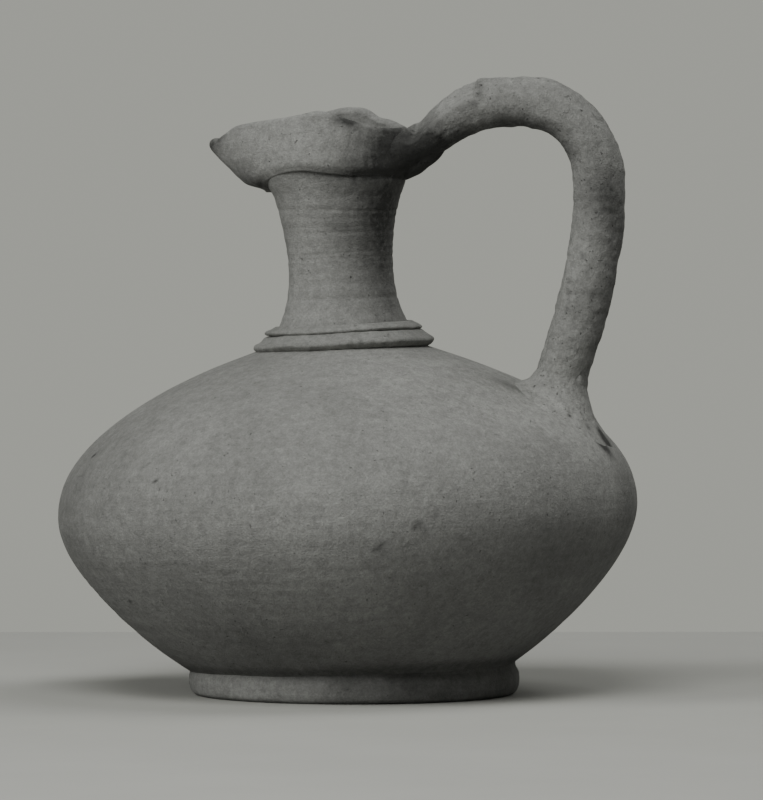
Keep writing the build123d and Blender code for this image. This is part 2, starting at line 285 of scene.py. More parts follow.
def ranged(tree, value, low, high, to_low, to_high):
    """A value stretched from one range to another and kept inside it."""
    inputs = {"Value": value, "From Min": low, "From Max": high}
    inputs.update({"To Min": to_low, "To Max": to_high})
    return node(tree, "ShaderNodeMapRange", inputs).outputs["Result"]


def math(tree, operation, a, b):
    """One sum of two values."""
    return node(tree, "ShaderNodeMath", {0: a, 1: b}, operation=operation).outputs[0]


PATCHES, FLECK_EDGE, FLECK_SHADE = 0.10, 0.045, 0.55
GRIT_START, GRIT_FULL, GRIT_SHADE = 0.30, 0.26, 1.3
# Shade reached by the fullest dark marks and painted shade, and the stain value and shade of the
# fullest painted light
MARK_AND_PAINTED_SHADE, PAINTED_LIGHT_STAIN, PAINTED_LIGHT_SHADE = 0.2, -0.5, 1.4


def fired_clay(name, tone, streaks, flecks, relief):
    """Matte fired ware: patches, mottling and streaks over a tone, dark flecks and pale grit where
    a fine noise peaks or dips, and the stain attribute's dark marks, painted shade and painted
    light. The shades are multiplied, and mottling, grain and streaks also lift the bump, which the
    flecks' holes lower."""
    material = bpy.data.materials.new(name)
    material.use_nodes = True
    tree = material.node_tree
    shader = tree.nodes["Principled BSDF"]
    place = node(tree, "ShaderNodeTexCoord").outputs["Object"]
    grain = node(tree, "ShaderNodeAttribute", attribute_name="grain").outputs["Vector"]
    # The stain attribute holds dark marks and pits, painted shade and, below zero, painted light
    stain_and_painted_light = node(tree, "ShaderNodeAttribute", attribute_name="stain_and_painted_light").outputs["Fac"]
    shade = ranged(tree, noise(tree, place, 24.0), 0.3, 0.7, 1 - PATCHES, 1 + PATCHES)
    mottling = noise(tree, place, 340.0, 6.0, 0.72)
    for value, depth in (
        (noise(tree, place, 105.0, 5.0), 0.08),
        (mottling, 0.20),
        (noise(tree, place, 1200.0, 3.0, 0.7), 0.16),
        (noise(tree, grain, 420.0, 3.0), streaks),
    ):
        shade = math(tree, "MULTIPLY", shade, ranged(tree, value, 0.3, 0.7, 1 - depth, 1 + depth))
    worn = noise(tree, place, 620.0, 5.0, 0.65)
    hole = ranged(tree, worn, flecks, flecks + FLECK_EDGE, 0.0, 1.0)
    grit = ranged(tree, worn, GRIT_START, GRIT_FULL, 0.0, 1.0)
    tear = ranged(tree, noise(tree, place, 420.0, 5.0), 0.35, 0.65, 0.75, 1.25)
    ragged = math(tree, "MULTIPLY", stain_and_painted_light, tear)
    for layer in (
        ranged(tree, hole, 0.0, 1.0, 1.0, FLECK_SHADE),
        ranged(tree, grit, 0.0, 1.0, 1.0, GRIT_SHADE),
        ranged(tree, ragged, PAINTED_LIGHT_STAIN, 1.0, PAINTED_LIGHT_SHADE, MARK_AND_PAINTED_SHADE),
    ):
        shade = math(tree, "MULTIPLY", shade, layer)
    colour = node(tree, "ShaderNodeVectorMath", {0: tone, "Scale": shade}, operation="SCALE")
    tree.links.new(colour.outputs[0], shader.inputs["Base Color"])
    matte = ranged(tree, noise(tree, place, 300.0), 0.3, 0.7, 0.78, 0.95)
    tree.links.new(matte, shader.inputs["Roughness"])
    shader.inputs["Specular IOR Level"].default_value = 0.3
    grainy = math(tree, "MULTIPLY", noise(tree, place, 1500.0, 3.0, 0.7), 0.5)
    lumpy = math(tree, "MULTIPLY", mottling, 1.1)
    lined = math(tree, "MULTIPLY", noise(tree, grain, 520.0, 2.0), 6.0 * streaks)
    surface = math(tree, "ADD", grainy, lumpy)
    height = math(tree, "ADD", surface, math(tree, "SUBTRACT", lined, hole))
    bump = node(tree, "ShaderNodeBump", {"Height": height, "Distance": relief, "Strength": 1.0})
    tree.links.new(bump.outputs["Normal"], shader.inputs["Normal"])
    return material


# Tone, strength of the streaks, noise level where flecks start and bump height in metres
WARES = {
    "thrown_ware": ((0.272, 0.275, 0.257), 0.045, 0.665, 0.0006),
    "foot_ware": ((0.275, 0.278, 0.260), 0.05, 0.69, 0.0004),
    "band_ware": ((0.262, 0.265, 0.247), 0.07, 0.66, 0.0006),
    "handle_ware": ((0.268, 0.271, 0.253), 0.06, 0.64, 0.0007),
}
FINISHES = {name: fired_clay(name, *ware) for name, ware in WARES.items()}

# Body
BODY_LEAN = 1.9
BELLY_RADIUS, BELLY_HEIGHT = 113.2, 72.0
BASE_RADIUS, BASE_HEIGHT, BASE_FLARE = 56.0, 6.0, np.radians(30.0)
HOLE_RADIUS, SHOULDER_HEIGHT, SHOULDER_SLOPE = 20.5, 139.6, np.radians(17.5)
BODY_WALL = 5.5
BODY_COLUMNS, OUTER_ROWS, INNER_ROWS = 360, 196, 44
UNEVEN, SETTLED = 0.20, -0.34
FOOT_X = BELLY_HEIGHT * np.sin(np.radians(BODY_LEAN))
BODY = leaning(FOOT_X, 0, BODY_LEAN)


def body_curves(inset, flank_count, shoulder_count):
    """Flank and shoulder, two Bezier curves that meet upright at the belly, set in by a wall."""
    base = (BASE_RADIUS - inset * np.tan(BASE_FLARE / 2), BASE_HEIGHT + inset)
    belly = (BELLY_RADIUS - inset, BELLY_HEIGHT)
    hole = (HOLE_RADIUS, SHOULDER_HEIGHT - inset / np.cos(SHOULDER_SLOPE))
    run, shoulder_run = 0.53 * (belly[0] - base[0]), 0.88 * (belly[0] - hole[0])
    low = (base[0] + run, base[1] + run * np.tan(BASE_FLARE))
    under_belly = (belly[0], belly[1] - 0.30 * (belly[1] - base[1]))
    over_belly = (belly[0], belly[1] + 0.27 * (hole[1] - belly[1]))
    high = (hole[0] + shoulder_run, hole[1] - shoulder_run * np.tan(SHOULDER_SLOPE))
    flank = bezier((base, low, under_belly, belly), flank_count)
    shoulder = bezier((belly, over_belly, high, hole), shoulder_count)
    return flank, shoulder


outer_flank, outer_shoulder = body_curves(0, 200, 200)
inner_flank, inner_shoulder = body_curves(BODY_WALL, 100, 100)
UNDERSIDE_R, UNDERSIDE_H = outer_flank.T
SHOULDER_R, SHOULDER_H = outer_shoulder[::-1].T


def over_shoulder(points):
    """Height of room points over the body's shoulder, measured along the body's upright."""
    x, y, height = measured(BODY, points)
    return height - np.interp(np.hypot(x, y), SHOULDER_R, SHOULDER_H)


def body_relief(radius, height, angle):
    """Wheel lines, a soft unevenness, and grooves scraped into the lower flank before firing."""
    lines = wheel_lines(height, angle, 3, 14, 138, 50, 0.07, 1.6)
    scraped = wheel_lines(height, angle, 5, 26, 52, 14, 0.36, 0.8)
    lines = lines + scraped * (0.5 - 0.5 * np.cos(angle))
    uneven = UNEVEN * drift(round_points(radius, angle, height), 70, 4) + SETTLED
    return (lines + uneven) * outer_rows[:, None]


outer = evenly(np.vstack([[0, BASE_HEIGHT], outer_flank, outer_shoulder[1:]]), OUTER_ROWS)
inner = np.vstack([inner_shoulder[::-1], inner_flank[::-1], [[0, BASE_HEIGHT + BODY_WALL]]])
inner = evenly(inner, INNER_ROWS)
profile = np.vstack([outer[1:], inner[:-1]])
outer_rows = np.concatenate([np.ones(len(outer) - 1), np.zeros(len(inner) - 1)])
grid = turned(BODY, profile, BODY_COLUMNS, body_relief)


def level_grain(grid, upright, stretch=0.06):
    """Place for streaks that run level: local x and y shrunk, height as it is."""
    x, y, height = measured(upright, grid)
    return np.stack([x * stretch, y * stretch, height], -1)


# Marks, painted shadow, and clouds of painted light and shade at listed pixels: across, down,
# reach and strength
BODY_MARKS_AND_PAINTED_SHADE = (
    (569, 416, 1.2, 1.3),
    (589, 427, 1.6, 1.0),
    # Painted shadow along the lower right edge of the handle's pad
    (605, 430, 3.0, 1.2),
    (612, 440, 4.2, 1.6),
    (384, 543, 0.9, 0.5),
    (379, 547, 1.5, 0.8),
    (373, 551, 1.0, 0.5),
    (386, 555, 1.2, 0.4),
    (420, 524, 1.6, 0.7),
    (413, 527, 1.2, 0.5),
    (427, 531, 1.2, 0.3),
    (434, 517, 1.8, 0.3),
    # Painted shade in the hollow where the pad meets the shoulder on its left
    (506, 374, 4.4, 0.32),
    (514, 380, 4.4, 0.36),
    (521, 387, 3.6, 0.30),
    (88, 451, 1.1, 1.2),
    (128, 602, 1.0, 1.0),
    (154, 482, 0.9, 0.9),
    (252, 640, 9.0, 0.15),
    (310, 655, 9.0, 0.15),
)
# Painted light on the shoulder and the lower front, painted shade along the left edge and the
# lower right side
BODY_PAINTED_LIGHT_AND_SHADE = (
    (440, 385, 30, -0.18),
    (530, 405, 30, -0.34),
    (590, 445, 20, -0.30),
    (100, 430, 35, 0.20),
    (70, 500, 20, 0.10),
    (290, 565, 32, -0.20),
    (380, 575, 28, -0.16),
    (560, 540, 25, 0.12),
    (626, 480, 12, 0.25),
    (630, 515, 12, 0.28),
)
# Painted shade in the crevice just above the foot ring, all round the body
GROOVE_PAINTED_SHADE, GROOVE_HEIGHT, GROOVE_REACH = 0.5, 12.5, 2.2
stain_and_painted_light = spots(grid, BODY_MARKS_AND_PAINTED_SHADE + BODY_PAINTED_LIGHT_AND_SHADE)
height = measured(BODY, grid)[2]
groove = np.exp(-(((height - GROOVE_HEIGHT) / GROOVE_REACH) ** 2))
stain_and_painted_light += GROOVE_PAINTED_SHADE * groove * outer_rows[:, None]
clay("jug_body", "body", "thrown_ware", grid, level_grain(grid, BODY), stain_and_painted_light)

# Foot ring
FOOT_RADIUS, FOOT_WIDTH = 64.9, 14.5
FOOT_INNER = FOOT_RADIUS - FOOT_WIDTH
FOOT_COLUMNS, FOOT_ROWS = 300, 56
FOOT_SINK = 1.5
FOOT = leaning(FOOT_X, 0, 0)


def underside(grid):
    """The grid at the height of the body's underside over it: the lean's sum is repeated."""
    tilt, flat = np.radians(BODY_LEAN), grid.copy()
    for _ in range(6):
        x, y, _ = measured(BODY, flat)
        height = np.interp(np.hypot(x, y), UNDERSIDE_R, UNDERSIDE_H)
        flat[..., 2] = (height + (flat[..., 0] - FOOT_X) * np.sin(tilt)) / np.cos(tilt)
    return flat


edge = np.array(
    [
        (FOOT_INNER, 7.0),
        (FOOT_INNER, 4.0),
        (FOOT_INNER + 0.6, 0.7),
        (FOOT_INNER + 2.2, 0.0),
        (FOOT_RADIUS - 3.6, 0.0),
        (FOOT_RADIUS - 1.4, 1.1),
        (FOOT_RADIUS - 0.2, 4.0),
        (FOOT_RADIUS, 6.4),
        (FOOT_RADIUS - 0.5, 9.2),
        (FOOT_RADIUS - 1.6, 11.4),
    ]
)
profile = smoothed(edge, 120, FOOT_ROWS)


def foot_relief(radius, height, angle):
    """A slow unevenness, none where the ring rests on the table."""
    uneven = 0.18 * drift(round_points(radius, angle, height), 30, 8)
    lift = uneven + wheel_lines(height, angle, 9, 2, 12, 6, 0.15, 0.8) - 0.2
    return lift * ease(0.2, 2.0, height)


grid = turned(FOOT, profile, FOOT_COLUMNS, foot_relief)
roof = underside(np.concatenate([grid[-1:], grid[:1]]))
roof[..., 2] += FOOT_SINK
grid = np.concatenate([grid, roof])
grid[..., 2] = np.maximum(grid[..., 2], 0)
# Painted light on the ring's lower left and painted shadow of the belly across its upper right
FOOT_PAINTED_LIGHT_AND_SHADOW = (
    (205, 688, 14, -0.40),
    (250, 692, 14, -0.40),
    (300, 695, 10, -0.30),
    (300, 674, 7, 0.35),
    (345, 677, 9, 0.45),
    (400, 682, 11, 0.40),
    (445, 686, 14, 0.35),
    (505, 683, 15, 0.40),
)
stain_and_painted_light = spots(grid, FOOT_PAINTED_LIGHT_AND_SHADOW)
clay("jug_foot_ring", "foot_ring", "foot_ware", grid, level_grain(grid, FOOT), stain_and_painted_light, ring=True)

# Neck
NECK_LEAN, NECK_LENGTH, NECK_WALL = 3.0, 65.0, 4.5
NECK_SUNK, NECK_SHIFT, MOUTH_LEAN = 4.6, 0.9, 5.2
NECK_COLUMNS, NECK_SAMPLES, NECK_ROWS = 300, 160, 130
TOP_SPREAD = 0.03
neck_root = placed(BODY, 0.0, 0.0, SHOULDER_HEIGHT - NECK_SUNK)
NECK = leaning(neck_root[0] + NECK_SHIFT, neck_root[2], NECK_LEAN)
mouth_root = placed(NECK, 0.0, 0.0, NECK_LENGTH)
MOUTH = leaning(mouth_root[0], mouth_root[2], MOUTH_LEAN)
NECK_OUTLINE = np.array(
    [
        (29.0, 0.6),
        (26.2, 7.5),
        (23.6, 13.5),
        (21.9, 19.0),
        (20.8, 25.5),
        (20.4, 33.0),
        (20.9, 41.5),
        (22.4, 50.0),
        (24.6, 58.0),
        (26.8, 64.0),
        (27.2, 67.0),
    ]
)
neck_heights = np.linspace(*NECK_OUTLINE[[0, -1], 1], NECK_SAMPLES)
column = evenly(through(NECK_OUTLINE[:, 1], NECK_OUTLINE, neck_heights), NECK_ROWS)
bore = column[::-6] - np.array([NECK_WALL, 0])
bore[0] += (1.2, -1.5)
bore[-1] += (0.4, 1.2)
profile = np.vstack([column, bore])
neck_rows = np.concatenate([np.ones(len(column)), np.zeros(len(bore))])


def neck_relief(radius, height, angle):
    """Throwing ridges that climb a little round the neck, over fine wheel lines."""
    ridges = 0.05 * np.sin(TURN * (height + 0.5 * np.cos(angle)) / 5.3)
    lines = wheel_lines(height, angle, 21, 8, 66, 70, 0.13, 0.5)
    uneven = 0.15 * drift(round_points(radius, angle, height), 24, 22)
    return (ridges + lines + uneven) * neck_rows[:, None]


JOINT_X = (-60, -30.5, -26, -17, -7, 2, 14, 30, 60)
JOINT_HEIGHTS = (0, 0, 2.6, 4.9, 5.2, 3.6, 1.5, 0.7, 0.7)


def joint_height(x):
    """Height of the joint of neck and mouth in the mouth's frame: it arches up at both sides."""
    return through(JOINT_X, JOINT_HEIGHTS, x)


grid = turned(NECK, profile, NECK_COLUMNS, neck_relief)
x, y, height = measured(NECK, grid)
height = height + (joint_height(x) - 0.8) * ease(44, 65, height)
spread = 1 + TOP_SPREAD * ease(60, 67, height) * np.clip(-x / np.hypot(x, y), 0, 1) ** 2
grid = placed(NECK, x * spread, y * spread, height)
# Painted shade down the neck's right side and under the mouth's ledge, painted light on its left,
# and two small dark spots
NECK_PAINTED_SHADE_AND_LIGHT = (
    (386, 190, 15, 0.55),
    (383, 215, 14, 0.45),
    (383, 245, 13, 0.42),
    (386, 275, 12, 0.34),
    (390, 305, 11, 0.28),
    (350, 180, 8, 0.20),
    (300, 240, 14, -0.20),
    (296, 300, 12, -0.12),
    (330, 226, 3, 0.25),
    (345, 226, 3, 0.25),
)


def joint_painted_shadow(grid):
    """Painted shadow under the mouth's ledge along the joint of neck and mouth, exp(-(height off
    it / 2 mm)^2), thicker at the back.
    """
    x, _, height = measured(MOUTH, grid)
    return (0.22 + 0.35 * ease(-20, 15, x)) * np.exp(-(((height - joint_height(x)) / 2.0) ** 2))


stain_and_painted_light = spots(grid, NECK_PAINTED_SHADE_AND_LIGHT) + joint_painted_shadow(grid) * neck_rows[:, None]
clay("jug_neck", "neck", "thrown_ware", grid, level_grain(grid, NECK), stain_and_painted_light, ring=True)

# Clay bands round the foot of the neck
BAND_COLUMNS, BAND_ROWS = 300, 44
BAND_MIDDLE = 30.0
FREE_START, FREE_FULL = 28.0, 30.5


def band(name, node_name, outline, seed, wander):
    """Roll of clay round the neck: an outline turned round it, whose free edge and top wander up,
    down and out by hand, with a fine unevenness on them."""
    profile = smoothed(outline, 90, BAND_ROWS)
    angle = np.arange(BAND_COLUMNS)[None] * TURN / BAND_COLUMNS
    circle = round_points(BAND_MIDDLE, angle, 0 * angle)
    radius, height = profile[:, :1], profile[:, 1:]
    points = round_points(radius, angle, height)
    out = ease(FREE_START, FREE_FULL, radius)
    radius = radius + out * (wander * drift(circle, 30, seed) + 0.11 * drift(points, 5, seed + 1))
    height = height + out * (0.2 * drift(circle, 34, seed + 2) + 0.05 * drift(points, 5, seed + 3))
    grid = placed(NECK, radius * np.cos(angle), radius * np.sin(angle), height)
    return clay(name, node_name, "band_ware", grid, level_grain(grid, NECK), ring=True)


lower_outline = np.array(
    [
        (27.0, -0.6),
        (32.6, -0.4),
        (34.4, 0.9),
        (35.1, 1.9),
        (34.7, 2.9),
        (33.2, 3.8),
        (31.8, 4.8),
        (30.6, 5.9),
        (28.4, 6.2),
        (26.0, 4.0),
    ]
)
upper_outline = np.array(
    [
        (25.0, 5.4),
        (28.6, 6.1),
        (30.0, 6.5),
        (30.5, 7.2),
        (29.9, 8.0),
        (28.4, 8.7),
        (26.2, 9.6),
        (24.6, 7.8),
    ]
)
band("jug_collar_lower", "collar_lower", lower_outline, 31, 0.25)
band("jug_collar_upper", "collar_upper", upper_outline, 41, 0.22)

# Mouth: outlines of a circle drawn out to a tip, from the joint up to the lip
MOUTH_WALL = 4.6
HEIGHTS = (-2.0, 0.0, 1.4, 5.0, 9.1, 13.5, 17.1, 18.6, 20.2, 22.0, 25.0, 31.0)
TIP_REACH = (28.8, 30.8, 34.3, 38.9, 42.6, 46.4, 49.0, 49.4, 48.7, 47.4, 46.2, 45.0)
TIP_RADIUS = (16.0, 14.0, 12.6, 10.8, 9.2, 7.0, 5.2, 4.6, 4.3, 4.2, 4.0, 4.0)
CUP_RADIUS = (28.2, 28.5, 28.8, 29.4, 29.8, 29.9, 29.8, 29.7, 29.6, 29.4, 29.0, 28.3)
PINCH = (0.0, 0.0, 0.0, 0.0, 0.2, 0.5, 0.8, 0.9, 1.0, 1.0, 1.0, 1.0)


def drawn_out(angle, cup, reach, tip, pinch):
    """Distance from the mouth's upright, at an angle from the beak, to the line round a cup circle
    and a tip circle at the beak: tip circle, then straight flank with its middle pinched in by a
    half sine, then cup circle."""
    span = np.maximum(reach - tip, 1e-3)
    turn = np.arccos(np.clip((cup - tip) / span, -1, 1))
    away = np.abs(angle)
    meet = np.arctan2(tip * np.sin(turn), span + tip * np.cos(turn))
    inside = np.sqrt(np.maximum(tip**2 - (span * np.sin(away)) ** 2, 0))
    at_tip = span * np.cos(away) + inside
    share = np.clip((away - meet) / np.maximum(turn - meet, 1e-3), 0, 1)
    at_flank = cup / np.cos(np.minimum(away - turn, 0)) - pinch * np.sin(np.pi * share)
    return np.where(away < meet, at_tip, np.where(away < turn, at_flank, cup))


def mouth_radius(angle, height, inset):
    """The drawn-out outline at a height, all round nearer to the upright by an inset."""
    cup = through(HEIGHTS, CUP_RADIUS, height) - inset
    reach = through(HEIGHTS, TIP_REACH, height) - inset
    tip = np.maximum(through(HEIGHTS, TIP_RADIUS, height) - 0.4 * inset, 1.5)
    return drawn_out(angle, cup, reach, tip, through(HEIGHTS, PINCH, height))


# The lip's height along the mouth: the tip with its nub and notch, then the near and the far side
LIP_TIP = (
    (-49.6, 18.4),
    (-48.0, 19.6),
    (-45.0, 21.2),
    (-42.2, 20.9),
    (-39.4, 22.6),
    (-36.0, 24.6),
)
LIP_NEAR = LIP_TIP + (
    (-29, 25.7),
    (-20, 26.2),
    (-11, 26.5),
    (-4, 27.2),
    (2, 27.7),
    (10, 24.4),
    (16.5, 21.7),
    (20, 20.3),
    (24, 18.8),
    (30, 18.2),
)
LIP_FAR = LIP_TIP + (
    (-25.7, 26.3),
    (-13.2, 27.0),
    (2.7, 28.8),
    (9.5, 27.2),
    (13.4, 24.2),
    (18.4, 22.6),
    (24, 20.3),
    (30, 18.6),
)


def rim_height(x, y):
    """Height of the lip: it climbs from the tip over a notch to the crest and dips to the handle,
    lower on the near side than on the far side."""
    near, far = (through(*np.array(side).T, x) for side in (LIP_NEAR, LIP_FAR))
    return near + (far - near) * ease(-18, 18, y)


MOUTH_COLUMNS, OUTER_COUNT, LIP_COUNT, INNER_COUNT = 420, 46, 14, 34
LIP_ROUND = 0.9
FOLD_DEPTH, FOLD_REACH = 1.1, 2.0
BORE_RADIUS, BASIN_TOP = 22.4, 14.0
SEAT_INNER, SEAT_OUTER = 24.0, 26.2

# The columns stand evenly round the outline at about the height of the tip
dense = np.linspace(-np.pi, np.pi, 4000)
reach = mouth_radius(dense, np.full(dense.shape, 18.0), 0)
length = lengths(np.stack([-reach * np.cos(dense), reach * np.sin(dense)], 1))
at = np.arange(MOUTH_COLUMNS) / MOUTH_COLUMNS * length[-1]
beak_angle = np.interp(at, length, dense)[None]

# The lip's height is asked for where the outline stands at about that height
lip = np.full(beak_angle.shape, 22.0)
for _ in range(8):
    around = mouth_radius(beak_angle, lip, MOUTH_WALL / 2)
    lip = rim_height(-around * np.cos(beak_angle), around * np.sin(beak_angle))
bottom = mouth_radius(beak_angle, np.full(beak_angle.shape, 2.0), 0)
joint = joint_height(-bottom * np.cos(beak_angle))
half_wall = MOUTH_WALL / 2
lip_start = lip - half_wall * LIP_ROUND

# Up the outside, whose lower edge folds in over the neck, over the lip and down to basin and bore
rise = np.linspace(0, 1, OUTER_COUNT)[:, None]
outer_height = joint + (lip_start - joint) * rise
outer_radius = mouth_radius(beak_angle, outer_height, 0)
fold = np.exp(-(((outer_height - joint) / FOLD_REACH) ** 2))
outer_radius = outer_radius - FOLD_DEPTH * fold
sweep = np.linspace(0, np.pi, LIP_COUNT + 2)[1:-1][:, None]
lip_height = lip_start + half_wall * LIP_ROUND * np.sin(sweep)
lip_radius = mouth_radius(beak_angle, lip_start, 0) - half_wall * (1 - np.cos(sweep))
fall = np.linspace(1, 0, INNER_COUNT)[:, None]
floor = np.maximum(joint - 0.5, -0.5)
inner_height = floor + (lip_start - floor) * fall
into_bore = ease(BASIN_TOP, 0.0, inner_height)
basin_radius = mouth_radius(beak_angle, inner_height, MOUTH_WALL)
inner_radius = basin_radius * (1 - into_bore) + BORE_RADIUS * into_bore
seat_radius = np.vstack([np.full(beak_angle.shape, r) for r in (SEAT_INNER, SEAT_OUTER)])
seat_height = np.vstack([joint - 0.6, joint - 0.2])
around = np.vstack([outer_radius, lip_radius, inner_radius, seat_radius])
height = np.vstack([outer_height, lip_height, inner_height, seat_height])
angle = np.broadcast_to(beak_angle, around.shape)
points = np.stack([-around * np.cos(angle), around * np.sin(angle), height], -1)
shares = ((OUTER_COUNT + LIP_COUNT, 1.0), (INNER_COUNT, 0.3), (len(seat_radius), 0.0))
outside = np.concatenate([np.full(count, share) for count, share in shares])[:, None]
around = around + outside * (0.22 * drift(points, 26, 51) + 0.07 * drift(points, 6, 52) - 0.1)
grid = placed(MOUTH, -around * np.cos(angle), around * np.sin(angle), height)
# Painted shade on the mouth's right side by the handle and under the beak's keel, painted light on
# its left front, and dark spots on the near rim and at the beak's tip
MOUTH_PAINTED_SHADE_AND_LIGHT = (
    (404, 145, 16, 0.85),
    (394, 150, 10, 0.40),
    (384, 160, 13, 0.50),
    (356, 172, 8, 0.35),
    (258, 150, 13, -0.30),
    (298, 145, 15, -0.30),
    (352, 116, 3, 1.10),
    (345, 118, 3, 0.60),
    (336, 117, 3, 0.50),
    (211, 146, 4, 0.90),
    (221, 139, 3, 0.50),
    (248, 183, 7, 0.50),
    (262, 187, 5, 0.55),
)
stain_and_painted_light = spots(grid, MOUTH_PAINTED_SHADE_AND_LIGHT) + joint_painted_shadow(grid) * (outside == 1)
grain = level_grain(grid, MOUTH, 0.15)
clay("jug_beak_mouth", "beak_mouth", "thrown_ware", grid, grain, stain_and_painted_light, ring=True)

# Handle: x and height of the coil's outer and of its inner edge, from the mouth to the shoulder
EDGES = np.array(
    [
        (22.2, 219.2, 20.8, 196.5),
        (25.4, 221.6, 25.4, 202.8),
        (28.8, 224.4, 31.4, 207.6),
        (34.4, 230.2, 37.4, 211.6),
        (39.9, 234.8, 43.0, 215.0),
        (46.3, 238.5, 48.8, 217.6),
        (51.8, 240.3, 54.7, 219.5),
        (59.0, 240.7, 60.2, 220.7),
        (68.0, 240.8, 67.0, 221.2),
        (77.0, 240.3, 73.2, 220.7),
        (85.5, 238.0, 78.6, 219.2),
        (93.6, 233.3, 82.6, 217.0),
        (100.4, 227.6, 85.6, 213.6),
        (105.5, 219.6, 87.9, 209.6),
        (108.9, 209.8, 89.3, 204.8),
        (110.3, 197.3, 89.9, 196.4),
        (110.0, 183.3, 89.5, 184.8),
        (107.6, 168.3, 87.2, 170.8),
        (104.5, 152.7, 84.0, 156.5),
        (100.2, 138.7, 80.1, 143.0),
        (95.8, 124.6, 76.4, 130.6),
        (91.2, 111.0, 72.0, 118.0),
    ]
)
HANDLE_WIDTH, HANDLE_COLUMNS, HANDLE_ROWS = 20.6, 112, 230
ROOT_SPREAD, ROOT_RUN = 8.0, 18
ROOT_BEND, ROOT_SUNK, BEND_RUN = 27.0, 1.5, 17
along = lengths((EDGES[:, :2] + EDGES[:, 2:]) / 2)
at = np.linspace(0, along[-1], HANDLE_ROWS)
edges = through(along, EDGES, at)
outer_edge = np.stack([edges[:, 0], 0 * at, edges[:, 1]], 1)
inner_edge = np.stack([edges[:, 2], 0 * at, edges[:, 3]], 1)
axis = (outer_edge + inner_edge) / 2
half = (outer_edge - inner_edge) / 2
phi_coil = np.arange(HANDLE_COLUMNS) * TURN / HANDLE_COLUMNS
phi = phi_coil[None]
width = HANDLE_WIDTH / 2 + ROOT_SPREAD * np.clip(1 - at / ROOT_RUN, 0, 1) ** 2
ring_out = np.cos(phi)[..., None] * half[:, None]
ring_side = np.sin(phi)[..., None] * width[:, None, None] * SIDEWAYS
grid = axis[:, None] + ring_out + ring_side

# The root spreads on the mouth's round wall: its sides are bent back to end just inside the wall
bent = 1 - ease(0, BEND_RUN, at)[:, None]
behind = ROOT_BEND - np.sqrt(ROOT_BEND**2 - grid[..., 1] ** 2)
grid[..., 0] -= bent * (ROOT_SUNK + behind)

# The thumb's flat: the near upper side of the coil is pressed in from the mouth up to the corner
FACET_TILT, FACET_DEPTH = np.radians(30), 3.2
FACET_END = along[6]
facet_way = half / np.linalg.norm(half, axis=1, keepdims=True) * np.cos(FACET_TILT)
facet_way = facet_way - np.sin(FACET_TILT) * SIDEWAYS
depth = FACET_DEPTH * ease(6, 11, at) * (1 - ease(FACET_END - 1.5, FACET_END + 1.0, at))
support = np.linalg.norm(half, axis=1) - depth
excess = ((grid - axis[:, None]) * facet_way[:, None]).sum(-1) - support[:, None]
excess = np.maximum(excess, 0) * (depth > 0.01)[:, None]
grid = grid - excess[..., None] * facet_way[:, None]
outwards = grid - axis[:, None]
outwards /= np.linalg.norm(outwards, axis=-1, keepdims=True)
HANDLE_PITS = (
    (567, 294, 1.2, 0.7),
    (568, 302, 1.0, 0.6),
    (566, 310, 1.1, 0.7),
    (594, 297, 1.5, 0.9),
    (563, 333, 1.2, 0.6),
    (560, 345, 1.1, 0.6),
    (559, 357, 1.0, 0.6),
    (572, 340, 0.9, 0.5),
    (588, 272, 1.0, 0.6),
    (584, 258, 1.2, 0.5),
    (575, 320, 1.0, 0.5),
    (477, 80, 1.6, 0.8),
    (500, 90, 0.9, 0.6),
    (470, 85, 0.9, 0.5),
)
# Painted shade down the coil's right side, under its arch and on its root by the mouth, a dark
# blotch high on its right side, a dark line along the edge of the thumb's flat, painted light on
# the flat, and paler patches on the coil's front
HANDLE_PAINTED_SHADE_AND_LIGHT = (
    (612, 190, 8, 0.45),
    (606, 205, 8, 0.30),
    (618, 215, 6, 0.30),
    (622, 238, 7, 0.40),
    (618, 264, 7, 0.40),
    (612, 291, 7, 0.40),
    (606, 318, 7, 0.38),
    (600, 345, 6, 0.38),
    (594, 371, 6, 0.30),
    (560, 374, 16, -0.22),
    (598, 178, 6, 0.20),
    (560, 150, 9, 0.15),
    (412, 150, 15, 0.85),
    (398, 145, 9, 0.40),
    (405, 172, 12, 0.70),
    (440, 148, 8, 0.55),
    (470, 137, 7, 0.70),
    (500, 127, 6, 0.75),
    (525, 126, 6, 0.70),
    (550, 133, 6, 0.55),
    (568, 152, 5, 0.40),
    (479, 86, 1.6, 0.60),
    (479, 94, 1.6, 0.60),
    (473, 103, 1.8, 0.40),
    (462, 110, 2.0, 0.30),
    (448, 102, 7, -0.30),
    (576, 255, 10, -0.20),
    (566, 345, 10, -0.10),
)
PIT_DEPTH, PIT_STAIN = 0.5, 0.6
pits = spots(grid, HANDLE_PITS)
lumps = 0.22 * drift(grid, 22, 61) + 0.12 * drift(grid, 7, 62) + 0.07 * drift(grid, 3, 63)
lumps = lumps - 0.2 - PIT_DEPTH * pits
grid = grid + lumps[..., None] * outwards
# Pits are darkened as marks; the listed spots add painted shade and painted light
stain_and_painted_light = PIT_STAIN * pits + spots(grid, HANDLE_PAINTED_SHADE_AND_LIGHT)

